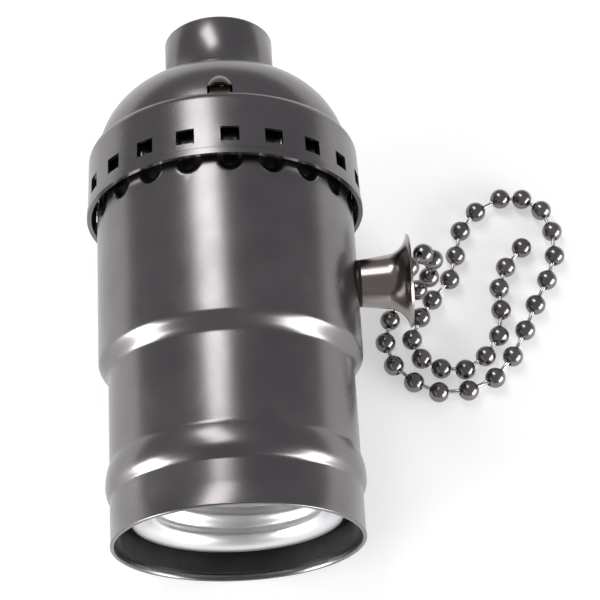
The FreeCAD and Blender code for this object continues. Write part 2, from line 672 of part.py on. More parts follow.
def make_screw_shell():
    """The lamp's screw shell, drawn as the tube that its thread is rolled into."""
    outer = "(screw_minor + screw_sheet)"
    lip = "(screw_minor + screw_lip)"
    lip_z = "(cup_z - screw_sheet)"
    neck_z = "(cup_z + lip_depth)"
    wall_end = "(cup_floor_z - contact_reach - contact_gap)"
    body = revolved("screw", [
        (lip, lip_z),
        (lip, "cup_z"),
        ("screw_minor + screw_lip * 0.5", "cup_z"),
        (outer, neck_z),
        (outer, wall_end),
        (outer + " - screw_taper", "cup_floor_z"),
        ("screw_hole", "cup_floor_z"),
        ("screw_hole", "cup_floor_z - screw_sheet"),
        ("screw_minor - screw_taper", "cup_floor_z - screw_sheet"),
        ("screw_minor", wall_end),
        ("screw_minor", neck_z),
        ("screw_minor + screw_lip * 0.4", lip_z),
    ])
    holes = [rod("shell_hole", "rivet_radius", "cup_floor_z - past", "cup_floor_z + past", "0", place)
             for place in ("rivet_place", "-rivet_place")]
    return node(cut("rolled", body, *holes), "screw_shell", SOCKET)


def make_centre_contact():
    body = DOC.addObject("PartDesign::Body", "contact")
    tip = "(cup_floor_z - contact_reach)"
    added(body, "contact_spring", [
        ("-contact_width / 2", "cup_floor_z - contact_sheet"),
        ("-contact_width / 2", "cup_floor_z"),
        ("contact_width / 2 + contact_sheet", "cup_floor_z"),
        ("contact_width / 2 + contact_sheet", "cup_floor_z - contact_reach / 2"),
        ("-contact_width / 3", tip),
        ("-contact_width / 2", tip + " + contact_sheet"),
        ("-contact_width / 2", tip + " + 2 * contact_sheet"),
        ("-contact_width / 3", tip + " + contact_sheet"),
        ("contact_width / 2", "cup_floor_z - contact_reach / 2 + contact_sheet / 3"),
        ("contact_width / 2", "cup_floor_z - contact_sheet"),
    ], "XZ_Plane", "0", "contact_width")
    hole = rod("contact_hole", "rivet_radius", "cup_floor_z - past", "cup_floor_z + past")
    return node(cut("contact_cut", body, hole), "centre_contact", SOCKET)


def rivet(name, bottom, top, x, y):
    """A rivet with a head at each end of the stack that it holds."""
    thick = "rivet_radius / 2"
    return joined(
        name,
        rod(name + "_shank", "rivet_radius", "%s - %s" % (bottom, thick), "%s + %s" % (top, thick), x, y),
        rod(name + "_head", "rivet_head", "%s - %s" % (bottom, thick), bottom, x, y),
        rod(name + "_tail", "rivet_head", top, "%s + %s" % (top, thick), x, y),
    )


def make_rivets():
    stacked = FLOOR_TOP + " + brass"
    node(rivet("middle_rivet", "cup_floor_z - contact_sheet", stacked, "0", "0"), "centre_rivet", SOCKET)
    under = "cup_floor_z - screw_sheet"
    pair = DOC.addObject("Part::Compound", "rivet_pair")
    pair.Links = [rivet("far_rivet", under, FLOOR_TOP, "0", "rivet_place"),
                  rivet("near_rivet", under, stacked, "0", "-rivet_place")]
    node(pair, "shell_rivets", SOCKET)


# Switch housing with its screws, terminals, contact leaves and neutral strap

SUPPLY_X = "(pivot_x + " + SLEEVE_RADIUS + " + supply_place)"
LINE_X = SUPPLY_X + " + plate_size / 2"
LINE_Y = "leaf_y + strip_width / 2"
STRAP_X = "(pivot_x + axle_radius + strap_place)"
NEUTRAL_X = STRAP_X + " + strap_width / 2"
NEUTRAL_Y = "-(cavity_half_y + plate_size / 2 - brass)"


def make_housing():
    slope = "(shell_upper - shell_lower) / step_height"
    flange = "(shell_lower - shell_wall + (%s - step_z - shell_wall / 3) * %s)" % (FLOOR_TOP, slope)
    block = joined(
        "housing_block",
        rod("housing_round", "housing_radius", FLOOR_TOP, "housing_top_z"),
        rod("housing_flange", flange, FLOOR_TOP, FLOOR_TOP + " + flange_height"),
    )
    through = ("cavity_top_z - past", "housing_top_z + past")
    bottom = "housing_top_z - terminal_bite"
    tools = [
        box("mechanism_space", ("-cavity_half_x", "cavity_half_x"), ("-cavity_half_y", "cavity_half_y"),
            (FLOOR_TOP + " - past", "cavity_top_z")),
        rod("bush_way", "bush_radius + running_gap", "0", "shell_upper + past", "0", "chain_z", "x"),
        rod("axle_way", "axle_radius", "-axle_reach", "shell_upper", "pivot_x", PIVOT_Z, "y"),
        box("supply_slot", (SUPPLY_X, SUPPLY_X + " + brass"), ("leaf_y", "leaf_y + strip_width"), through),
        box("strap_slot", (STRAP_X, STRAP_X + " + strap_width"),
            ("-cavity_half_y", "brass - cavity_half_y"), through),
        rod("line_hole", "terminal_shank", bottom, "housing_top_z + past", LINE_X, LINE_Y),
        rod("neutral_hole", "terminal_shank", bottom, "housing_top_z + past", NEUTRAL_X, NEUTRAL_Y),
    ]
    for sign in (-1, 1):
        x, y = screw_place(sign)
        tools.append(rod("screw_way", "screw_shank", FLOOR_TOP + " - past", "housing_top_z + past", x, y))
    return node(cut("housing", block, *tools), "switch_housing", SOCKET)


def slotted_screw(name, x, y, top, shank, head, head_height, bite):
    """A cheese-head screw whose head stands on a face, with a driver slot."""
    whole = joined(
        name + "_blank",
        rod(name + "_shank", shank, "%s - (%s)" % (top, bite), top, x, y),
        rod(name + "_head", head, top, "%s + %s" % (top, head_height), x, y),
    )
    floor = "%s + %s / 2" % (top, head_height)
    slot = box(name + "_slot", ("%s - %s * 2" % (x, head), "%s + %s * 2" % (x, head)),
               ("%s - %s / 5" % (y, head), "%s + %s / 5" % (y, head)), (floor, floor + " + " + head_height))
    return cut(name, whole, slot)


def make_screws():
    held = DOC.addObject("Part::Compound", "long_screws")
    bite = "housing_top_z - %s + screw_bite" % FLOOR_TOP
    held.Links = [slotted_screw("long_screw", *screw_place(sign), "housing_top_z", "screw_shank",
                                "screw_head", "screw_head_height", bite) for sign in (-1, 1)]
    node(held, "assembly_screws", SOCKET)
    seat = "(housing_top_z + brass + plate_thickness)"
    bite = "terminal_bite + brass + plate_thickness"
    clamps = DOC.addObject("Part::Compound", "clamp_screws")
    clamps.Links = [slotted_screw("clamp_screw", x, y, seat, "terminal_shank", "terminal_head",
                                  "terminal_head_height", bite)
                    for x, y in ((LINE_X, LINE_Y), (NEUTRAL_X, NEUTRAL_Y))]
    node(clamps, "terminal_screws", SOCKET)


def make_terminals():
    low, high = "housing_top_z + brass", "housing_top_z + brass + plate_thickness"
    for label, x, y in (("line_terminal", LINE_X, LINE_Y), ("neutral_terminal", NEUTRAL_X, NEUTRAL_Y)):
        plate = box(label + "_plate", ("%s - plate_size / 2" % x, "%s + plate_size / 2" % x),
                    ("%s - plate_size / 2" % y, "%s + plate_size / 2" % y), (low, high))
        hole = rod(label + "_hole", "terminal_shank", low + " - past", high + " + past", x, y)
        node(cut(label + "_cut", plate, hole), label, SOCKET)


def make_leaves():
    top, touch = "housing_top_z", "(%s + %s + running_gap)" % (PIVOT_Z, SLEEVE_RADIUS)
    across = ("leaf_y", "leaf_y + strip_width")
    supply = joined(
        "supply",
        box("supply_foot", (SUPPLY_X, LINE_X + " + terminal_head"),
            ("leaf_y - strip_width / 2", "leaf_y + 1.5 * strip_width"), (top, top + " + brass")),
        box("supply_post", (SUPPLY_X, SUPPLY_X + " + brass"), across, (touch, top)),
        box("supply_arm", ("pivot_x - strip_width / 2", SUPPLY_X), across, (touch, touch + " + brass")),
    )
    hole = rod("supply_hole", "terminal_shank", top + " - past", top + " + past", LINE_X, LINE_Y)
    node(cut("supply_cut", supply, hole), "supply_leaf", SOCKET)

    near = "(pivot_x - %s - running_gap)" % SLEEVE_RADIUS
    foot = (FLOOR_TOP, FLOOR_TOP + " + brass")
    lamp = joined(
        "lamp",
        box("lamp_post", (near + " - brass", near), across, (FLOOR_TOP, PIVOT_Z + " + strip_width")),
        box("lamp_run", (near + " - brass", near + " + strip_width"),
            ("-rivet_head", "leaf_y + strip_width"), foot),
        box("lamp_foot", (near + " - brass", "rivet_head"), ("-rivet_head", "rivet_head"), foot),
    )
    hole = rod("lamp_hole", "rivet_radius", FLOOR_TOP + " - past", FLOOR_TOP + " + past")
    node(cut("lamp_cut", lamp, hole), "lamp_leaf", SOCKET)

    wide = (STRAP_X, STRAP_X + " + strap_width")
    strap = joined(
        "strap",
        box("strap_head", (NEUTRAL_X + " - plate_size / 2", NEUTRAL_X + " + plate_size / 2"),
            (NEUTRAL_Y + " - plate_size / 2", "brass - cavity_half_y"), (top, top + " + brass")),
        box("strap_post", wide, ("-cavity_half_y", "brass - cavity_half_y"), (FLOOR_TOP, top)),
        box("strap_foot", ("-rivet_head", STRAP_X + " + strap_width"),
            ("-cavity_half_y", "rivet_head - rivet_place"), foot),
    )
    holes = (
        rod("strap_hole", "terminal_shank", top + " - past", top + " + past", NEUTRAL_X, NEUTRAL_Y),
        rod("strap_rivet_hole", "rivet_radius", FLOOR_TOP + " - past", FLOOR_TOP + " + past",
            "0", "-rivet_place"),
    )
    node(cut("strap_cut", strap, *holes), "neutral_strap", SOCKET)


# Guide bush, washer and bell, turned about the chain's line

def make_bell_group():
    along_x = at(0, 0, size("chain_z"), TO_X)
    bush_end = "(%s + bush_grip)" % BELL_X
    bush = revolved("bush", [
        ("bush_bore", BUSH_INNER_X),
        ("bush_flange", BUSH_INNER_X),
        ("bush_flange", "cavity_half_x"),
        ("bush_radius", "cavity_half_x"),
        ("bush_radius", bush_end),
        ("bush_bore", bush_end),
    ])
    node(bush, "guide_bush", along_x)
    washer = revolved("washer", [
        ("bush_radius + fit_gap", "shell_upper"),
        ("washer_radius", "shell_upper"),
        ("washer_radius", BELL_X),
        ("bush_radius + fit_gap", BELL_X),
    ])
    node(washer, "bell_washer", along_x)
    flare_x = "(%s + bell_straight)" % BELL_X
    rim_x = "(%s + bell_length)" % BELL_X
    bell = revolved("bell", [
        ("bell_root", BELL_X),
        ("bell_waist", flare_x, "flare_arc", -1),
        ("bell_rim", rim_x),
        ("bell_rim - bell_lip / 2", rim_x + " + bell_lip", "flare_arc + bell_wall", 1),
        ("bell_waist - bell_wall", flare_x + " + bell_wall / 2"),
        ("bush_bore + running_gap", bush_end + " + bell_wall / 2"),
        ("bush_bore + running_gap", bush_end),
        ("bush_radius", bush_end),
        ("bush_radius", BELL_X),
    ])
    node(bell, "bell_mouth", along_x)


# Pull mechanism on the axle: lever with pawl, ratchet wheel, drum with three contacts

HALF_SWING = math.degrees(math.atan2(size("pull_travel / 2"), size("pivot_rise")))
TOOTH_STEP = 360.0 / size("tooth_count")
TURNED = Rotation(V(0, 1, 0), HALF_SWING)


def at_pivot(turn=Rotation()):
    return at(size("pivot_x"), 0, size(PIVOT_Z), turn)


def make_axle():
    axle = revolved("axle", [
        ("0", "-axle_reach"),
        ("axle_radius - running_gap * 4", "-axle_reach"),
        ("axle_radius", "-axle_reach + running_gap * 4"),
        ("axle_radius", "axle_reach - running_gap * 4"),
        ("axle_radius - running_gap * 4", "axle_reach"),
        ("0", "axle_reach"),
    ])
    node(axle, "lever_axle", at_pivot(TO_Y))
    free = "-(cheek_gap + cheek_sheet + running_gap)"
    outer = rod("spacer_tube", "hub_radius", "-cavity_half_y", free, "0", "0", "y")
    hole = rod("spacer_bore", BORE, "-cavity_half_y - past", "0", "0", "0", "y")
    node(cut("spacer", outer, hole), "axle_spacer", at_pivot())


def make_lever():
    """The yoke: two slotted cheeks on one sleeve, swung back to where the chain rests."""
    low, high = "-(cheek_gap + cheek_sheet)", "cheek_gap + cheek_sheet"
    half = "arm_width / 2"
    pieces = [rod("sleeve", "hub_radius", low, high, "0", "0", "y")]
    for side in ((low, "-cheek_gap"), ("cheek_gap", high)):
        pieces.append(rod("cheek_round", "cheek_hub", *side, "0", "0", "y"))
        pieces.append(box("cheek_arm", ("-" + half, half), side, (half + " - arm_length", "0")))
        pieces.append(rod("cheek_tip", half, *side, "0", half + " - arm_length", "y"))
    slot_half = "(pin_radius + pin_gap)"
    far = "-(sqrt(pivot_rise ^ 2 + (pull_travel / 2) ^ 2) + pin_gap)"
    near = "-(pivot_rise - pin_gap)"
    across = (low + " - past", high + " + past")
    slots = [
        rod("lever_bore", BORE, *across, "0", "0", "y"),
        box("pin_slot", ("-" + slot_half, slot_half), across, (far, near)),
        rod("slot_low", slot_half, *across, "0", far, "y"),
        rod("slot_high", slot_half, *across, "0", near, "y"),
    ]
    node(cut("lever", joined("yoke", *pieces), *slots), "pull_lever", at_pivot(TURNED))


def make_pawl():
    """A bent finger on the lever's cheek whose tip reaches over the ratchet wheel."""
    start, end = "cheek_gap + cheek_sheet", "wheel_y + wheel_sheet * 0.9"
    half = "pawl_sheet / 2"
    tip = box("pawl_tip", ("-" + half, half), (start, end), ("-pawl_outer", "-pawl_inner"))
    leaf = box("pawl_leaf", ("-arm_width / 4", half), (start, start + " + pawl_sheet * 0.8"),
               ("-pawl_outer", "-" + BORE + " - pawl_sheet"))
    finger = joined("finger", tip, leaf)
    node(finger, "pawl", at_pivot(Rotation(V(0, 1, 0), -size("pawl_angle"))))


def tooth_face_angle():
    """Direction of the tooth face in front of the pawl, seen from the axle, in degrees."""
    half_tip = math.degrees(math.asin(size("pawl_sheet / 2 / pawl_inner")))
    return size("pawl_angle") + half_tip + 2 * HALF_SWING - TOOTH_STEP + size("pawl_play")


def spoke(radius, degrees):
    """A point round the axle, at an angle from the mouth side toward the bell."""
    angle = math.radians(degrees)
    return V(radius * math.sin(angle), 0, -radius * math.cos(angle))


def make_ratchet_wheel():
    """Saw teeth: each flank climbs from the root to the tip and drops back on a radial face."""
    face = tooth_face_angle()
    points = []
    steps = 6
    for tooth in range(int(size("tooth_count"))):
        for step in range(steps + 1):
            part = step / steps
            radius = size("wheel_root + (wheel_tip - wheel_root) * %s" % part)
            points.append(spoke(radius, face - (tooth + part) * TOOTH_STEP))
    points.append(points[0])
    blank = Part.Face(Part.makePolygon(points)).extrude(V(0, size("wheel_sheet"), 0))
    bore = Part.makeCylinder(size(BORE), size("wheel_sheet"), V(0, 0, 0), V(0, 1, 0))
    wheel = DOC.addObject("Part::Feature", "wheel")
    wheel.Shape = blank.cut(bore)
    node(wheel, "ratchet_wheel", at_pivot().multiply(Placement(V(0, size("wheel_y"), 0), Rotation())))


def make_drum():
    high = "%s + drum_length" % DRUM_Y
    drum = rod("drum_round", "drum_radius", DRUM_Y, high, "0", "0", "y")
    bore = rod("drum_bore", BORE, DRUM_Y + " - past", high + " + past", "0", "0", "y")
    node(cut("drum", drum, bore), "rotor_drum", at_pivot())

    first = -180 - size("contact_lead")
    group = DOC.addObject("Part::Compound", "drum_contacts")
    group.Links = [drum_contact(first + 2 * step * TOOTH_STEP) for step in range(3)]
    node(group, "rotor_contacts", at_pivot())


def drum_contact(start):
    """A curved strip round the drum that covers one contact's angle."""
    middle = "(%s + drum_length / 2)" % DRUM_Y
    ends = (middle + " - sleeve_length / 2", middle + " + sleeve_length / 2")
    wedge = rod("contact_wedge", SLEEVE_RADIUS, *ends, axis="y")
    wedge.Placement = Placement(wedge.Placement.Base, TO_Y.multiply(Rotation(V(0, 0, 1), start)))
    bind(wedge, "Angle", "sleeve_angle")
    long = (middle + " - drum_length", middle + " + drum_length")
    core = rod("contact_core", "drum_radius", *long, axis="y")
    return cut("contact_strip", wedge, core)


# Chain end: clip, cross pin and return spring

PIN_X = "(pivot_x - pull_travel / 2)"
CLIP_FACE = "(pivot_x - pull_travel / 2 + clip_front)"
BEAD_POLE = "(bead_radius * %s)" % (BALL_SWELL * math.cos(math.radians(BALL_RINGS[0])))
FIRST_BEAD_X = "(%s - clip_wall - %s)" % (CLIP_FACE, BEAD_POLE)


def make_chain_end():
    along_x = at(0, 0, size("chain_z"), TO_X)
    back = PIN_X + " - clip_back"
    roomy = "(bead_radius + 2 * running_gap)"
    body = revolved("clip", [
        ("0", back),
        ("clip_radius", back),
        ("clip_radius", CLIP_FACE),
        ("link_radius + running_gap", CLIP_FACE),
        ("link_radius + running_gap", CLIP_FACE + " - clip_wall"),
        (roomy, CLIP_FACE + " - clip_wall"),
        (roomy, FIRST_BEAD_X + " - " + BEAD_POLE),
        ("0", FIRST_BEAD_X + " - " + BEAD_POLE),
    ])
    hole = rod("pin_way", "pin_radius", "-clip_radius - past", "clip_radius + past", "0", PIN_X, "y")
    node(cut("clip_cut", body, hole), "chain_clip", along_x)
    reach = "(cheek_gap + cheek_sheet + pin_gap)"
    pin = revolved("pin", [
        ("0", "-" + reach),
        ("pin_radius / 2", "-" + reach),
        ("pin_radius", "-%s + pin_radius / 3" % reach),
        ("pin_radius", "%s - pin_radius / 3" % reach),
        ("pin_radius / 2", reach),
        ("0", reach),
    ])
    node(pin, "clip_pin", at(size(PIN_X), 0, size("chain_z"), TO_Y))


def make_return_spring():
    """A coil of square wire round the chain, from the clip's face to the bush's flange."""
    radius, half = size("spring_radius"), size("spring_wire")
    start, end = size(CLIP_FACE + " + spring_seat"), size(BUSH_INNER_X + " - spring_seat")
    count = SPRING_CORNERS * int(size("spring_turns"))
    points = []
    for i in range(count + 1):
        angle = 2 * math.pi * i / SPRING_CORNERS
        along = start + (end - start) * i / count
        points.append(V(radius * math.cos(angle), radius * math.sin(angle), along))
    first = (points[1] - points[0]).normalize()
    upward = first.cross(V(1, 0, 0)).normalize()
    outward = upward.cross(first)
    signs = ((1, 1), (1, -1), (-1, -1), (-1, 1))
    corners = [points[0] + outward * i * half + upward * j * half for i, j in signs]
    section = Part.makePolygon(corners + corners[:1])
    wire = DOC.addObject("Part::Feature", "coil")
    wire.Shape = Part.makePolygon(points).makePipeShell([section], True, True, 1)
    node(wire, "return_spring", at(0, 0, size("chain_z"), TO_X))


# Ball chain. Inside the socket it is straight; from the bell it hangs and lies on the table in a
# spiral. The beads are where the photograph shows them, given from the bell's root along the
# table's axes, for beads at the pitch SEEN_PITCH.

SEEN_PITCH = 4.38
HANGING = [
    (3.4, 0.35, 0.0), (7.3, 2.7, -0.7), (9.8, 5.9, -2.8), (11.5, 6.9, -6.6), (11.0, 6.1, -10.6),
    (9.3, 5.9, -14.2), (6.6, 5.7, -17.4),
]
LYING = [
    (4.9, 3.0), (3.9, -0.9), (4.9, -4.9), (7.8, -8.0), (11.5, -9.9), (16.1, -9.9), (20.4, -8.0),
    (23.5, -4.5), (25.9, -0.1), (28.0, 4.3), (30.3, 8.6), (32.0, 12.9), (32.1, 17.4), (30.8, 21.4),
    (27.9, 23.7), (24.4, 24.0), (20.2, 21.8), (17.4, 18.4), (16.2, 13.9), (14.9, 9.7), (11.8, 6.2),
    (9.7, 3.2), (8.1, -0.6), (9.3, -4.0), (12.2, -5.9), (15.9, -6.3), (19.3, -4.2), (21.7, -0.8),
    (22.5, 3.7), (22.6, 7.6), (24.0, 11.3), (26.9, 14.7),
]


def chain_places():
    """Bead centres: at one pitch along the straight run, then where the photograph shows them."""
    throat = size(BELL_X)
    line = size("chain_z")
    places = []
    x = size(FIRST_BEAD_X)
    while x < throat:
        places.append(SOCKET.multVec(V(x, 0, line)))
        x += size("chain_pitch")
    root = SOCKET.multVec(V(throat, 0, line))
    table = TABLE_Z + size("bead_radius") * BALL_SWELL
    scale = size("chain_pitch") / SEEN_PITCH
    places += [root + V(*step) * scale for step in HANGING]
    places += [V(root.x + dx * scale, root.y + dy * scale, table) for dx, dy in LYING]
    return places


def faceted_ball():
    """A ball of flat facets on rings round Z, swollen a little so that it has the bead's volume."""
    radius = size("bead_radius") * BALL_SWELL
    rings = []
    for polar in BALL_RINGS:
        low, height = radius * math.sin(math.radians(polar)), radius * math.cos(math.radians(polar))
        turns = [2 * math.pi * i / BALL_SIDES for i in range(BALL_SIDES)]
        rings.append([V(low * math.cos(turn), low * math.sin(turn), height) for turn in turns])
    outlines = [rings[0], rings[-1]]
    for upper, lower in zip(rings, rings[1:]):
        outlines += [[upper[i - 1], upper[i], lower[i], lower[i - 1]] for i in range(BALL_SIDES)]
    faces = [Part.Face(Part.makePolygon(points + points[:1])) for points in outlines]
    return Part.makeSolid(Part.makeShell(faces))


def hexagonal_bar(start, way, length):
    """A link's bar from a point, along a direction."""
    turns = [math.pi * i / 3 for i in range(7)]
    ring = [V(math.cos(turn), math.sin(turn), 0) * size("link_radius") for turn in turns]
    bar = Part.Face(Part.makePolygon(ring)).extrude(V(0, 0, length))
    bar.Placement = Placement(start, Rotation(V(0, 0, 1), way))
    return bar


def make_chain():
    """Each link ends in a seat inside the two beads that it joins."""
    places = chain_places()
    depth = size("bead_radius - link_seat")
    links = []
    for here, there in zip(places, places[1:]):
        way = (there - here).normalize()
        links.append(hexagonal_bar(here + way * depth, way, here.distanceToPoint(there) - 2 * depth))
    beads = []
    for i, spot in enumerate(places):
        before, after = places[max(i - 1, 0)], places[min(i + 1, len(places) - 1)]
        ball = faceted_ball()
        ball.Placement = Placement(spot, Rotation(V(0, 0, 1), after - before))
        beads.append(ball.cut(links[max(i - 1, 0):i + 1]))
    for name, shapes in (("chain_beads", beads), ("chain_links", links)):
        item = DOC.addObject("Part::Feature", name)
        item.Shape = Part.makeCompound(shapes)
        node(item, name, Placement())


# Earth terminal: a copper strip hooked under the cap's hood, and its screw

def make_earth():
    turn = Rotation(V(0, 0, 1), size("hood_turn") + UPPER_SIDE)
    face = "(ridge_radius - ridge_step - cap_wall - earth_gap)"
    bend = "(%s - earth_slant)" % face
    end = "(%s - earth_reach)" % bend
    knee = "(ridge_z + slot_height * 0.4)"
    body = DOC.addObject("PartDesign::Body", "earth")
    added(body, "bent_strip", [
        (face + " - earth_sheet", "ridge_z - slot_height"),
        (face, "ridge_z - slot_height"),
        (face, knee),
        (bend, "earth_tab_z"),
        (end, "earth_tab_z"),
        (end, "earth_tab_z - earth_sheet"),
        (bend + " - earth_sheet", "earth_tab_z - earth_sheet"),
        (face + " - earth_sheet", knee + " - earth_sheet / 4"),
    ], "XZ_Plane", "0", "earth_width")
    screw_x = "(%s + earth_screw_place)" % end
    under = "earth_tab_z - earth_sheet"
    foot = under + " - earth_boss_height"
    boss = rod("earth_boss", "terminal_shank + earth_boss", foot, under, screw_x, "0")
    hole = rod("earth_hole", "terminal_shank", foot + " - past", "earth_tab_z + past", screw_x, "0")
    node(cut("earth_cut", joined("earth_whole", body, boss), hole), "earth_strip", at(turn=turn))
    screw = slotted_screw("earth_screw_blank", screw_x, "0", "earth_tab_z", "terminal_shank",
                          "terminal_head", "terminal_head_height", "earth_screw_length")
    node(screw, "earth_screw", at(turn=turn))


def main():
    make_cap()
    make_neck_collar()
    make_outer_shell()
    make_liner()
    make_lower_body()
    make_screw_shell()
    make_centre_contact()
    make_rivets()
    make_housing()
    make_screws()
    make_terminals()
    make_leaves()
    make_bell_group()
    make_axle()
    make_lever()
    make_pawl()
    make_ratchet_wheel()
    make_drum()
    make_chain_end()
    make_return_spring()
    make_chain()
    make_earth()
    DOC.recompute()

    for item in DOC.Objects:
        if "Invalid" in item.State or "Error" in item.State:
            raise RuntimeError("%s failed: %s" % (item.Label, item.State))
    for item in NODES:
        if item.Shape.isNull() or not item.Shape.isValid():
            raise RuntimeError("%s has no valid shape" % item.Label)

    os.makedirs("parts", exist_ok=True)
    for item in NODES:
        item.Shape.exportStep("parts/%s.step" % item.Label)
        print("%-18s solids %3d  volume %9.2f mm3" % (item.Label, len(item.Shape.Solids), item.Shape.Volume))
    print("tilt %.3f degrees, table at z = %.3f, half swing %.3f degrees" % (TILT, TABLE_Z, HALF_SWING))


main()
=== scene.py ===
import math

import bmesh
import bpy
from mathutils import Matrix, Vector


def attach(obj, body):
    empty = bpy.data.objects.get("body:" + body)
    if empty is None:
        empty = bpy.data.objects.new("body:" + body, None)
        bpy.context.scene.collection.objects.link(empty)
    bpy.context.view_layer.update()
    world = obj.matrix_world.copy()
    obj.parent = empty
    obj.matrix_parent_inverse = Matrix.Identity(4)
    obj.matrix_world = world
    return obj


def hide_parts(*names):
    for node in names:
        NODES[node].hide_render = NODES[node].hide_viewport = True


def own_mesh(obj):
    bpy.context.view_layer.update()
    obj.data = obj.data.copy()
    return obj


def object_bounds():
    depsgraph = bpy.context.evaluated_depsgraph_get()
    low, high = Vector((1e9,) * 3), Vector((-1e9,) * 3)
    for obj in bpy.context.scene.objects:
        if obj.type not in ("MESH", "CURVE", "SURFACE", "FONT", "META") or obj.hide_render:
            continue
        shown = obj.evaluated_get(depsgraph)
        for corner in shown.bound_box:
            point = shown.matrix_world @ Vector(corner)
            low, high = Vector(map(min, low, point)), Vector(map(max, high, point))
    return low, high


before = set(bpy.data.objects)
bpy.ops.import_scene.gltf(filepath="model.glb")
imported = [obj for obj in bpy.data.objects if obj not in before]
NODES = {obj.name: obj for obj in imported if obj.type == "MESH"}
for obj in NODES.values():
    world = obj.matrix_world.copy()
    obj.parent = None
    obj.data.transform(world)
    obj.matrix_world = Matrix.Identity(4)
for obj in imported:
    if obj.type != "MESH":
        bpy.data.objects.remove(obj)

# Lamp socket with a pull chain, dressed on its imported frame. Sizes are in millimetres of the
# socket's own frame (z along its axis from the lamp mouth, x along the bell), and PLACE lays them
# where the CAD has them.

CAD_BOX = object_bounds()
MM = 0.001

# The socket lies on the cap's rim and the shell's ring, each with its radius and height.
CAP_RIM = (20.75, 50.98)
SHELL_RING = (18.45, 8.7)
TILT = math.atan2(CAP_RIM[0] - SHELL_RING[0], CAP_RIM[1] - SHELL_RING[1])
NECK_END = 82.08
CHAIN_Z = 39.1
LAID = Matrix.Rotation(TILT - math.pi / 2, 4, "X")
PLACE = LAID @ Matrix.Translation((0, 0, -NECK_END * MM))
BELL_PLACE = PLACE @ Matrix.Translation((0, 0, CHAIN_Z * MM)) @ Matrix.Rotation(math.pi / 2, 4, "Y")


# Materials

class Nodes:
    """A material's node tree, with short calls to add and join nodes."""

    def __init__(self, name):
        self.material = bpy.data.materials.new(name)
        self.material.use_nodes = True
        self.tree = self.material.node_tree
        self.tree.nodes.clear()
        self.out = self.add("ShaderNodeOutputMaterial")
        self.shader = self.add("ShaderNodeBsdfPrincipled")
        self.join(self.shader, "BSDF", self.out, "Surface")

    def add(self, kind, **settings):
        item = self.tree.nodes.new(kind)
        for key, value in settings.items():
            setattr(item, key, value)
        return item

    def join(self, source, output, target, name):
        self.tree.links.new(source.outputs[output], target.inputs[name])

    def put(self, **values):
        for key, value in values.items():
            self.shader.inputs[key.replace("_", " ")].default_value = value

    def noise(self, scale, detail=3.0, stretch=(1, 1, 1), rough=0.5):
        """Noise in the part's own coordinates, stretched along an axis where one is given."""
        place = self.add("ShaderNodeTexCoord")
        frame_map = self.add("ShaderNodeMapping")
        frame_map.inputs["Scale"].default_value = stretch
        self.join(place, "Object", frame_map, "Vector")
        texture = self.add("ShaderNodeTexNoise")
        texture.inputs["Scale"].default_value = scale
        texture.inputs["Detail"].default_value = detail
        texture.inputs["Roughness"].default_value = rough
        self.join(frame_map, "Vector", texture, "Vector")
        return texture

    def ramp(self, source, output, low, high, dark, light):
        """A colour ramp from dark at low to light at high."""
        item = self.add("ShaderNodeValToRGB")
        item.color_ramp.elements[0].position = low
        item.color_ramp.elements[0].color = (*dark, 1)
        item.color_ramp.elements[1].position = high
        item.color_ramp.elements[1].color = (*light, 1)
        self.join(source, output, item, "Fac")
        return item

    def span(self, source, output, low, high):
        """Turns a value from 0 to 1 into one from low to high."""
        item = self.add("ShaderNodeMapRange")
        item.inputs["To Min"].default_value = low
        item.inputs["To Max"].default_value = high
        self.join(source, output, item, "Value")
        return item

    def bump(self, layers):
        """Bump from (texture, output, strength, depth in metres), the last on top."""
        last = None
        for texture, output, strength, depth in layers:
            item = self.add("ShaderNodeBump")
            item.inputs["Strength"].default_value = strength
            item.inputs["Distance"].default_value = depth
            self.join(texture, output, item, "Height")
            if last:
                self.join(last, "Normal", item, "Normal")
            last = item
        self.join(last, "Normal", self.shader, "Normal")


def metal(name, dark, light, rough, grain=4200.0, grain_depth=2e-6, drawn=None):
    """Plated or bare metal: patchy tone, patchy polish, fine grain and, if drawn, fine lines."""
    m = Nodes(name)
    patches = m.noise(110.0, 4.0)
    tone = m.ramp(patches, "Fac", 0.36, 0.66, dark, light)
    m.join(tone, "Color", m.shader, "Base Color")
    smears = m.noise(340.0, 3.0)
    polish = m.span(smears, "Fac", rough[0], rough[1])
    m.join(polish, "Result", m.shader, "Roughness")
    m.put(Metallic=1.0)
    layers = [(m.noise(grain, 2.0), "Fac", 0.5, grain_depth)]
    if drawn:
        layers.append((m.noise(900.0, 3.0, drawn), "Fac", 0.4, 1.5e-6))
    m.bump(layers)
    return m.material


def moulding(name, dark, light, rough, grain_depth=4e-6, shine=0.5):
    """Moulded plastic or pressed fibre: slight mottling over a fine moulded grain."""
    m = Nodes(name)
    tone = m.ramp(m.noise(260.0, 4.0), "Fac", 0.35, 0.68, dark, light)
    m.join(tone, "Color", m.shader, "Base Color")
    polish = m.span(m.noise(500.0, 3.0), "Fac", rough[0], rough[1])
    m.join(polish, "Result", m.shader, "Roughness")
    m.put(Metallic=0.0, Specular_IOR_Level=shine)
    m.bump([(m.noise(2600.0, 3.0), "Fac", 0.5, grain_depth)])
    return m.material


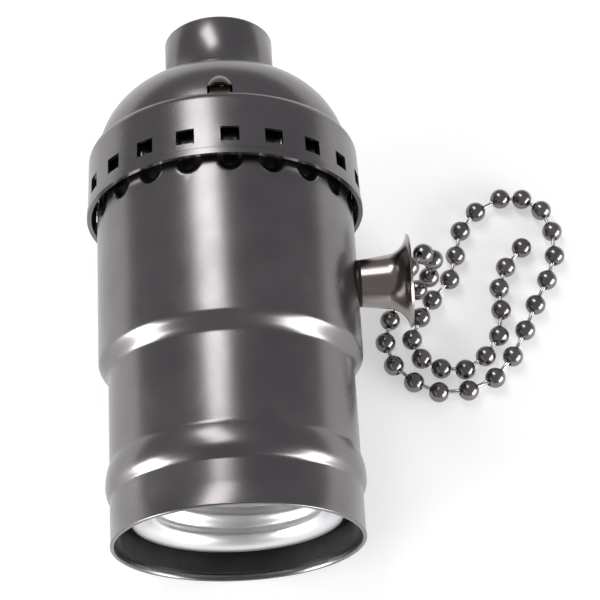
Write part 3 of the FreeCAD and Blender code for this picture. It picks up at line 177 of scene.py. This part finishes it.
PLATED = metal("black_pearl_plating", (0.178, 0.168, 0.173), (0.212, 0.20, 0.205), (0.23, 0.30),
               grain=3800.0, grain_depth=1.2e-6, drawn=(1.0, 0.12, 1.0))
NICKEL = metal("polished_dark_nickel", (0.29, 0.255, 0.24), (0.37, 0.33, 0.305), (0.16, 0.24),
               grain_depth=1e-6)
BEAD = metal("bead_nickel", (0.19, 0.18, 0.178), (0.26, 0.247, 0.24), (0.16, 0.25), grain_depth=1.5e-6)
LINK = metal("link_steel", (0.48, 0.46, 0.45), (0.60, 0.58, 0.57), (0.2, 0.3))
ALUMINIUM = metal("rolled_aluminium", (0.74, 0.74, 0.75), (0.86, 0.86, 0.87), (0.36, 0.46),
                  grain_depth=3e-6, drawn=(1.0, 0.1, 1.0))
BRASS = metal("bright_brass", (0.66, 0.47, 0.20), (0.80, 0.60, 0.30), (0.2, 0.34))
DARK_BRASS = metal("blackened_brass", (0.15, 0.125, 0.095), (0.22, 0.185, 0.14), (0.25, 0.4))
COPPER = metal("tinned_copper", (0.88, 0.66, 0.52), (0.95, 0.78, 0.64), (0.55, 0.7))
STEEL = metal("zinc_plated_steel", (0.50, 0.50, 0.50), (0.64, 0.64, 0.65), (0.22, 0.38))
BLACK = moulding("black_moulding", (0.004, 0.004, 0.005), (0.009, 0.009, 0.009), (0.16, 0.26), shine=0.2)
FIBRE = moulding("black_fibre", (0.008, 0.008, 0.008), (0.018, 0.017, 0.017), (0.5, 0.7), 1.2e-5, shine=0.3)
NYLON = moulding("natural_nylon", (0.70, 0.67, 0.58), (0.80, 0.77, 0.69), (0.35, 0.5))
GREEN = metal("green_screw_lacquer", (0.03, 0.20, 0.07), (0.06, 0.30, 0.11), (0.3, 0.45))

FINISH = {
    "cap": PLATED, "neck_collar": PLATED, "outer_shell": PLATED,
    "insulating_liner": FIBRE, "bell_washer": FIBRE,
    "lower_body": BLACK, "switch_housing": BLACK,
    "screw_shell": ALUMINIUM,
    "centre_contact": BRASS, "centre_rivet": BRASS, "shell_rivets": BRASS,
    "terminal_screws": BRASS, "line_terminal": BRASS, "supply_leaf": BRASS,
    "lamp_leaf": BRASS, "neutral_strap": BRASS, "rotor_contacts": BRASS, "guide_bush": DARK_BRASS,
    "neutral_terminal": STEEL, "assembly_screws": STEEL, "lever_axle": STEEL,
    "pull_lever": STEEL, "pawl": STEEL, "ratchet_wheel": STEEL, "chain_clip": STEEL,
    "clip_pin": STEEL, "return_spring": STEEL,
    "axle_spacer": NYLON, "rotor_drum": NYLON,
    "bell_mouth": NICKEL, "chain_beads": BEAD, "chain_links": LINK,
    "earth_strip": COPPER, "earth_screw": GREEN,
}
for label, item in NODES.items():
    item.data.materials.clear()
    item.data.materials.append(FINISH[label])
    item.data.shade_smooth()
    item.data.set_sharp_from_angle(angle=math.radians(30))


# Mesh helpers

def new_piece(name, mesh_bm, material, sharp=40.0):
    """An object from a bmesh, smooth but for its sharp edges."""
    mesh = bpy.data.meshes.new(name)
    mesh_bm.to_mesh(mesh)
    mesh_bm.free()
    mesh.shade_smooth()
    mesh.set_sharp_from_angle(angle=math.radians(sharp))
    mesh.materials.append(material)
    item = bpy.data.objects.new(name, mesh)
    bpy.context.scene.collection.objects.link(item)
    return item


def skin(bm, rows, closed_rows=False):
    """Joins rows of points, each a closed ring, with quads."""
    rings = [[bm.verts.new(point) for point in row] for row in rows]
    pairs = list(zip(rings, rings[1:]))
    if closed_rows:
        pairs.append((rings[-1], rings[0]))
    for low, high in pairs:
        count = len(low)
        for i in range(count):
            j = (i + 1) % count
            bm.faces.new((low[i], low[j], high[j], high[i]))
    return rings


def circle(sides):
    """Evenly spaced turns round an axis."""
    return [2 * math.pi * i / sides for i in range(sides)]


def around(place, radius, height, turn):
    """A point at that radius and turn round an axis, in millimetres along and away from it."""
    return place @ Vector((radius * math.cos(turn) * MM, radius * math.sin(turn) * MM, height * MM))


def arc(centre, radius, start, end, steps):
    """Points of an arc in a profile, angles in degrees."""
    angles = [math.radians(start + (end - start) * i / steps) for i in range(steps + 1)]
    return [(centre[0] + radius * math.cos(a), centre[1] + radius * math.sin(a)) for a in angles]


# Chain: a smooth bead for each faceted one, and a drawn link between each two

def islands(item):
    """The separate solids of a node, as lists of their corners."""
    bm = bmesh.new()
    bm.from_mesh(item.data)
    bmesh.ops.remove_doubles(bm, verts=bm.verts, dist=1e-6)
    seen, groups = set(), []
    for vert in bm.verts:
        if vert in seen:
            continue
        seen.add(vert)
        group, edge = [], [vert]
        while edge:
            here = edge.pop()
            group.append(here.co.copy())
            for link in here.link_edges:
                there = link.other_vert(here)
                if there not in seen:
                    seen.add(there)
                    edge.append(there)
        groups.append(group)
    bm.free()
    return groups


def middle(points):
    """The centre of the box round some points."""
    low = Vector([min(p[k] for p in points) for k in range(3)])
    high = Vector([max(p[k] for p in points) for k in range(3)])
    return (low + high) / 2


def ball_centre(points, radius):
    """The centre of a faceted ball, from its corners that lie farthest out."""
    guess = middle(points)
    for _ in range(12):
        outer = [p for p in points if abs((p - guess).length - radius) < 0.12 * radius]
        shift = Vector((0, 0, 0))
        for p in outer:
            away = p - guess
            shift += away.normalized() * (away.length - radius)
        guess += shift * (2.0 / len(outer))
    return guess


# The corners of the CAD's faceted beads lie a little outside the real ball.
BEAD_RADIUS = 1.6
BEAD_SWELL = 1.02
BEAD_HOLE = 0.62
LINK_SIDES = 12


def make_chain():
    """Puts a bead on each of the CAD's and a link between each two that a CAD link joins."""
    corner_radius = BEAD_RADIUS * BEAD_SWELL * MM
    balls = [ball_centre(group, corner_radius) for group in islands(NODES["chain_beads"])]
    joints = []
    for group in islands(NODES["chain_links"]):
        spot = sum(group, Vector()) / len(group)
        near = sorted(range(len(balls)), key=lambda i: (balls[i] - spot).length)[:2]
        joints.append(sorted(near))
    ways = [Vector() for _ in balls]
    for a, b in joints:
        way = (balls[b] - balls[a]).normalized()
        for i in (a, b):
            ways[i] += way if ways[i].dot(way) >= 0 else -way
    bm = bmesh.new()
    for spot, way in zip(balls, ways):
        add_bead(bm, Matrix.Translation(spot) @ way.to_track_quat("Z", "X").to_matrix().to_4x4())
    bmesh.ops.recalc_face_normals(bm, faces=bm.faces)
    beads = new_piece("chain_of_beads", bm, BEAD)
    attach(beads, "chain")
    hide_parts("chain_beads")
    bm = bmesh.new()
    for a, b in joints:
        add_link(bm, balls[a], balls[b])
    bmesh.ops.recalc_face_normals(bm, faces=bm.faces)
    links = new_piece("chain_of_links", bm, LINK)
    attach(links, "chain")
    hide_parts("chain_links")


def add_bead(bm, place, sides=22, rings=11):
    """A hollow bead: round, with a turned-in hole at each end where a link goes in."""
    hole = math.degrees(math.asin(BEAD_HOLE / BEAD_RADIUS))
    outside = arc((0, 0), BEAD_RADIUS, -90 + hole, 90 - hole, rings)
    half = [(0.36, 1.02), (0.44, 1.28), (0.52, 1.42)]
    profile = [(r, -z) for r, z in half] + outside + [(r, z) for r, z in reversed(half)]
    skin(bm, [[around(place, r, z, turn) for turn in circle(sides)] for r, z in profile])


def add_link(bm, start, end):
    """A wire with a swelling at each end, from inside one bead to inside the next."""
    way = (end - start).normalized()
    length = (end - start).length / MM
    place = Matrix.Translation(start) @ way.to_track_quat("Z", "X").to_matrix().to_4x4()
    profile = [(0.05, 0.95), (0.42, 0.98), (0.42, 1.12), (0.33, 1.32), (0.30, length / 2)]
    profile += [(r, length - z) for r, z in reversed(profile[:-1])]
    rings = skin(bm, [[around(place, r, z, turn) for turn in circle(LINK_SIDES)] for r, z in profile])
    bm.faces.new(rings[0])
    bm.faces.new(rings[-1])


make_chain()


# Rolled and cut threads, on the CAD's own tube, lip and bore

def rings_at(profile, turns):
    """Rings of points for (radius, height) pairs in the socket's frame."""
    return [[around(PLACE, r, z, turn) for turn in turns] for r, z in profile]


def thread(radius, depth, pitch, span, fade, turns, rows, sharp_crest=False):
    """Rings of a thread that grows outward from that radius, and runs out at both ends."""
    first, last = span
    rings = []
    for i in range(rows + 1):
        z = first + (last - first) * i / rows
        ease = min(1.0, max(0.0, (z - first) / fade)) * min(1.0, max(0.0, (last - z) / fade))
        ring = []
        for turn in turns:
            phase = (z / pitch - turn / (2 * math.pi)) % 1.0
            swing = 1 - abs(2 * phase - 1) if sharp_crest else 0.5 - 0.5 * math.cos(2 * math.pi * phase)
            ring.append(around(PLACE, radius + depth * swing * ease, z, turn))
        rings.append(ring)
    return rings


def finished(name, rows, material, replaced):
    """A closed skin of rings that stands in for a solid of the socket."""
    bm = bmesh.new()
    skin(bm, rows, True)
    bmesh.ops.recalc_face_normals(bm, faces=bm.faces)
    item = new_piece(name, bm, material, 50)
    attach(item, "socket")
    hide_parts(replaced)
    return item


# Lamp thread E27 and neck thread M10 x 1: crest radius, depth, pitch and where they start and end
LAMP_CREST, LAMP_DEPTH, LAMP_PITCH, LAMP_SPAN, LAMP_FADE = 12.2, 1.08, 3.63, (5.2, 20.45), 1.6
NECK_CREST, NECK_DEPTH, NECK_PITCH, NECK_SPAN, NECK_FADE = 4.46, 0.54, 1.0, (72.0, 81.6), 0.5
SCREW_SHEET = 0.3


def make_screw_shell():
    """The rolled aluminium shell: flared lip, threaded wall and the bottom with its hole."""
    turns = circle(120)
    inside = thread(LAMP_CREST, LAMP_DEPTH, LAMP_PITCH, LAMP_SPAN, LAMP_FADE, turns, 110)
    outside = thread(LAMP_CREST + SCREW_SHEET, LAMP_DEPTH, LAMP_PITCH, LAMP_SPAN, LAMP_FADE, turns, 110)
    lip = [(12.44, 4.74), (12.9, 4.12), (13.5, 3.7), (14.15, 3.54), (14.7, 3.52), (14.95, 3.6),
           (15.0, 3.7), (14.9, 3.81), (14.2, 3.85), (13.66, 3.98), (13.22, 4.36), (12.78, 4.9)]
    bottom = [(11.5, 22.8), (11.12, 23.75), (10.88, 24.0), (5.0, 24.0), (5.0, 23.7), (10.6, 23.7),
              (10.85, 23.5), (11.2, 22.8)]
    rows = rings_at(lip, turns) + outside + rings_at(bottom, turns) + inside[::-1]
    finished("rolled_screw_shell", rows, ALUMINIUM, "screw_shell")


def make_neck():
    """The threaded collar: flange, the groove that the cap is staked into, wall and threaded bore."""
    turns = circle(96)
    flange = [(4.7, 71.77), (7.85, 71.77), (8.0, 71.92), (8.0, 73.07), (6.5, 73.07), (6.5, 73.57)]
    wall = [(8.3, 73.57), (8.385, 73.66), (8.385, 81.55), (8.3, 81.75), (8.05, 82.0), (7.85, NECK_END)]
    mouth = [(5.25, NECK_END), (5.05, 82.02)]
    bore = thread(NECK_CREST, NECK_DEPTH, NECK_PITCH, NECK_SPAN, NECK_FADE, turns, 96, True)
    rows = rings_at(flange + wall + mouth, turns) + bore[::-1]
    finished("threaded_neck", rows, PLATED, "neck_collar")


make_screw_shell()
make_neck()


# Outer shell: drawn sheet with a soft step, a ring, rounded pockets under the cap and the bush's hole

SHEET = 0.5
LOWER, UPPER = 17.83, 19.24
TOP_Z = 55.9
RING_Z, RING_RISE, RING_BELOW, RING_ABOVE = SHELL_RING[1], 0.62, 2.0, 3.15
STEP_START, STEP_END, STEP_SOFT = 25.35, 27.15, 0.3
HEM = [(17.36, 0.08), (17.43, 0.0), (17.8, 0.0), (17.9, 0.06), (17.93, 0.16), (17.91, 0.34)]
POCKET_Z, POCKET_DEPTH, POCKET_HALF, POCKETS = 49.0, 0.75, 1.85, 20
POCKET_TURN = math.radians(5.3 - 90)
HOLE_RADIUS = 3.12


def eased(low, high, value):
    """A smooth step from 0 at low to 1 at high."""
    part = min(1.0, max(0.0, (value - low) / (high - low)))
    return part * part * (3 - 2 * part)


def shell_radius(z):
    """The shell's outer radius at a height, without its pockets."""
    if RING_Z - RING_BELOW < z <= RING_Z:
        return LOWER + RING_RISE * (1 - ((RING_Z - z) / RING_BELOW) ** 2.2) ** 0.85
    if RING_Z < z < RING_Z + RING_ABOVE:
        return LOWER + RING_RISE * (1 - ((z - RING_Z) / RING_ABOVE) ** 2)
    part = (z - STEP_START) / (STEP_END - STEP_START)
    low = max(0.0, STEP_SOFT - abs(part)) ** 2 / (4 * STEP_SOFT)
    high = max(0.0, STEP_SOFT - abs(part - 1)) ** 2 / (4 * STEP_SOFT)
    return LOWER + (UPPER - LOWER) * (min(1.0, max(0.0, part)) + low - high)


def pocket_depth(z, turn):
    """How far a stamped pocket lies inside the shell at a place."""
    if z <= POCKET_Z:
        return 0.0
    step = 2 * math.pi / POCKETS
    across = ((turn - POCKET_TURN + step / 2) % step - step / 2) * UPPER
    below = min(0.0, z - POCKET_Z - POCKET_HALF)
    return POCKET_DEPTH * (1 - eased(0.55, 1.0, math.hypot(across, below) / POCKET_HALF))


def evenly(start, end, count):
    """Evenly spaced values from start to end, both included."""
    return [start + (end - start) * i / count for i in range(count + 1)]


def cut_bush_hole(bm):
    """Opens the skin round the bush, rounds both edges and joins them through the sheet."""
    inverse = PLACE.inverted()

    def offset(vert):
        local = inverse @ vert.co / MM
        return local, math.hypot(local.y, local.z - CHAIN_Z)

    inner = [v for v in bm.verts if offset(v)[0].x > 0 and offset(v)[1] < HOLE_RADIUS]
    bmesh.ops.delete(bm, geom=inner, context="VERTS")
    edges = [e for e in bm.edges if e.is_boundary]
    for vert in {v for e in edges for v in e.verts}:
        local, away = offset(vert)
        radius = math.hypot(local.x, local.y)
        local.y *= HOLE_RADIUS / away
        local.z = CHAIN_Z + (local.z - CHAIN_Z) * HOLE_RADIUS / away
        local.x = math.sqrt(radius ** 2 - local.y ** 2)
        vert.co = PLACE @ (local * MM)
    bmesh.ops.bridge_loops(bm, edges=edges)


def make_outer_shell():
    """The drawn shell as one skin: outside from mouth to top, over the edge and back inside."""
    turns = circle(400)
    low, high = RING_Z - RING_BELOW, RING_Z + RING_ABOVE
    heights = [0.55, 3.5, low - 0.3] + evenly(low, RING_Z, 10) + evenly(RING_Z, high, 8)[1:]
    heights += [high + 0.3, 16, 20, 24.5] + evenly(24.8, 27.7, 18) + [29, 33.5]
    heights += evenly(35.3, 42.9, 25) + [45, 47.5] + evenly(48.8, TOP_Z - 0.12, 20)

    def ring(z, inset):
        return [around(PLACE, shell_radius(z) - inset - pocket_depth(z, t), z, t) for t in turns]

    rows = rings_at(HEM, turns)
    rows += [ring(z, 0.0) for z in heights]
    rows += [ring(TOP_Z, 0.1), ring(TOP_Z, SHEET - 0.1)]
    rows += [ring(z, SHEET) for z in reversed(heights)]
    bm = bmesh.new()
    skin(bm, rows, True)
    cut_bush_hole(bm)
    bmesh.ops.recalc_face_normals(bm, faces=bm.faces)
    item = new_piece("drawn_shell", bm, PLATED, 50)
    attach(item, "socket")
    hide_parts("outer_shell")


make_outer_shell()


# Return spring: round wire on the CAD coil's line, at rest; the real one is pressed while the chain is
# pulled

SPRING_TURNS, SPRING_STEPS = 7, 36
SPRING_START, SPRING_END, SPRING_SEAT = -0.9, 11.47, 11.687
SPRING_RADIUS, WIRE_RADIUS = 2.2, 0.21


def make_return_spring():
    """A coil between the chain's clip and the bush, drawn at its rest length."""
    count = SPRING_TURNS * SPRING_STEPS
    rows = []
    for i in range(count + 1):
        turn = 2 * math.pi * i / SPRING_STEPS
        along = SPRING_START + (SPRING_END - SPRING_START) * i / count
        rows.append([around(BELL_PLACE, SPRING_RADIUS + WIRE_RADIUS * math.cos(side),
                            along + WIRE_RADIUS * math.sin(side), turn) for side in circle(8)])
    bm = bmesh.new()
    rings = skin(bm, rows)
    bm.faces.new(rings[0])
    bm.faces.new(rings[-1])
    bmesh.ops.recalc_face_normals(bm, faces=bm.faces)
    spring = new_piece("coiled_spring", bm, STEEL)
    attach(spring, "socket")
    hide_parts("return_spring")
    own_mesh(spring)


make_return_spring()


# Floor, light and camera, in metres

FLOOR_REACH = 3.0
FLOOR_GLOW = 0.45
CENTRE = (0.0, -0.045, -0.005)


def make_stage():
    """A pale table whose white shows to the camera and in metal, and that keeps the shadow."""
    bm = bmesh.new()
    floor_z = CAD_BOX[0].z
    signs = ((-1, -1), (1, -1), (1, 1), (-1, 1))
    bm.faces.new([bm.verts.new((x * FLOOR_REACH, y * FLOOR_REACH, floor_z)) for x, y in signs])
    m = Nodes("pale_table")
    m.put(Base_Color=(0.72, 0.72, 0.72, 1), Roughness=0.75)
    seen = m.add("ShaderNodeLightPath")
    both = m.add("ShaderNodeMath", operation="MAXIMUM")
    every = m.add("ShaderNodeMath", operation="MAXIMUM")
    glow = m.add("ShaderNodeMath", operation="MULTIPLY")
    glow.inputs[1].default_value = FLOOR_GLOW
    m.join(seen, "Is Camera Ray", both, 0)
    m.join(seen, "Is Glossy Ray", both, 1)
    m.join(both, 0, every, 0)
    m.join(seen, "Is Transmission Ray", every, 1)
    m.join(every, 0, glow, 0)
    m.put(Emission_Color=(1, 1, 1, 1))
    m.join(glow, 0, m.shader, "Emission Strength")
    floor = new_piece("table", bm, m.material)


def area_light(name, spot, target, width, height, radiance):
    """A soft box that faces a target. Its power follows from its size and radiance."""
    lamp = bpy.data.lights.new(name, "AREA")
    lamp.shape = "RECTANGLE"
    lamp.size = width
    lamp.size_y = height
    lamp.energy = radiance * math.pi * width * height
    item = bpy.data.objects.new(name, lamp)
    item.location = spot
    item.rotation_euler = (Vector(target) - Vector(spot)).to_track_quat("-Z", "Y").to_euler()
    bpy.context.scene.collection.objects.link(item)


make_stage()
area_light("top_strip", (-0.152, 0.27, 0.56), CENTRE, 0.20, 0.40, 5.2)
area_light("front_left", (-0.56, -0.26, 0.11), CENTRE, 0.42, 0.27, 12.0)
area_light("front_right", (0.52, -0.33, 0.11), CENTRE, 0.56, 0.26, 8.5)

world = bpy.data.worlds.new("studio")
bpy.context.scene.world = world
world.use_nodes = True
sky = world.node_tree.nodes["Background"]
sky.inputs["Color"].default_value = (0.32, 0.32, 0.33, 1)
sky.inputs["Strength"].default_value = 1.0

# The camera was fitted to the photograph's rims.
CAMERA_PLACE = (9.388, -174.20, 242.23)
RIGHT = Vector((0.99835955, -0.05238565, -0.02310762))
UP = Vector((0.05711399, 0.88279849, 0.4662669))
BACK = RIGHT.cross(UP)
camera = bpy.data.cameras.new("camera")
camera.sensor_fit = "HORIZONTAL"
camera.sensor_width = 36.0
camera.lens = 112.455
camera.clip_start = 0.01
camera.clip_end = 20.0
eye = bpy.data.objects.new("camera", camera)
bpy.context.scene.collection.objects.link(eye)
turned = Matrix((RIGHT, UP, BACK)).transposed().to_4x4()
eye.matrix_world = Matrix.Translation(Vector(CAMERA_PLACE) * MM) @ turned
bpy.context.scene.camera = eye
bpy.context.scene.view_settings.view_transform = "Standard"
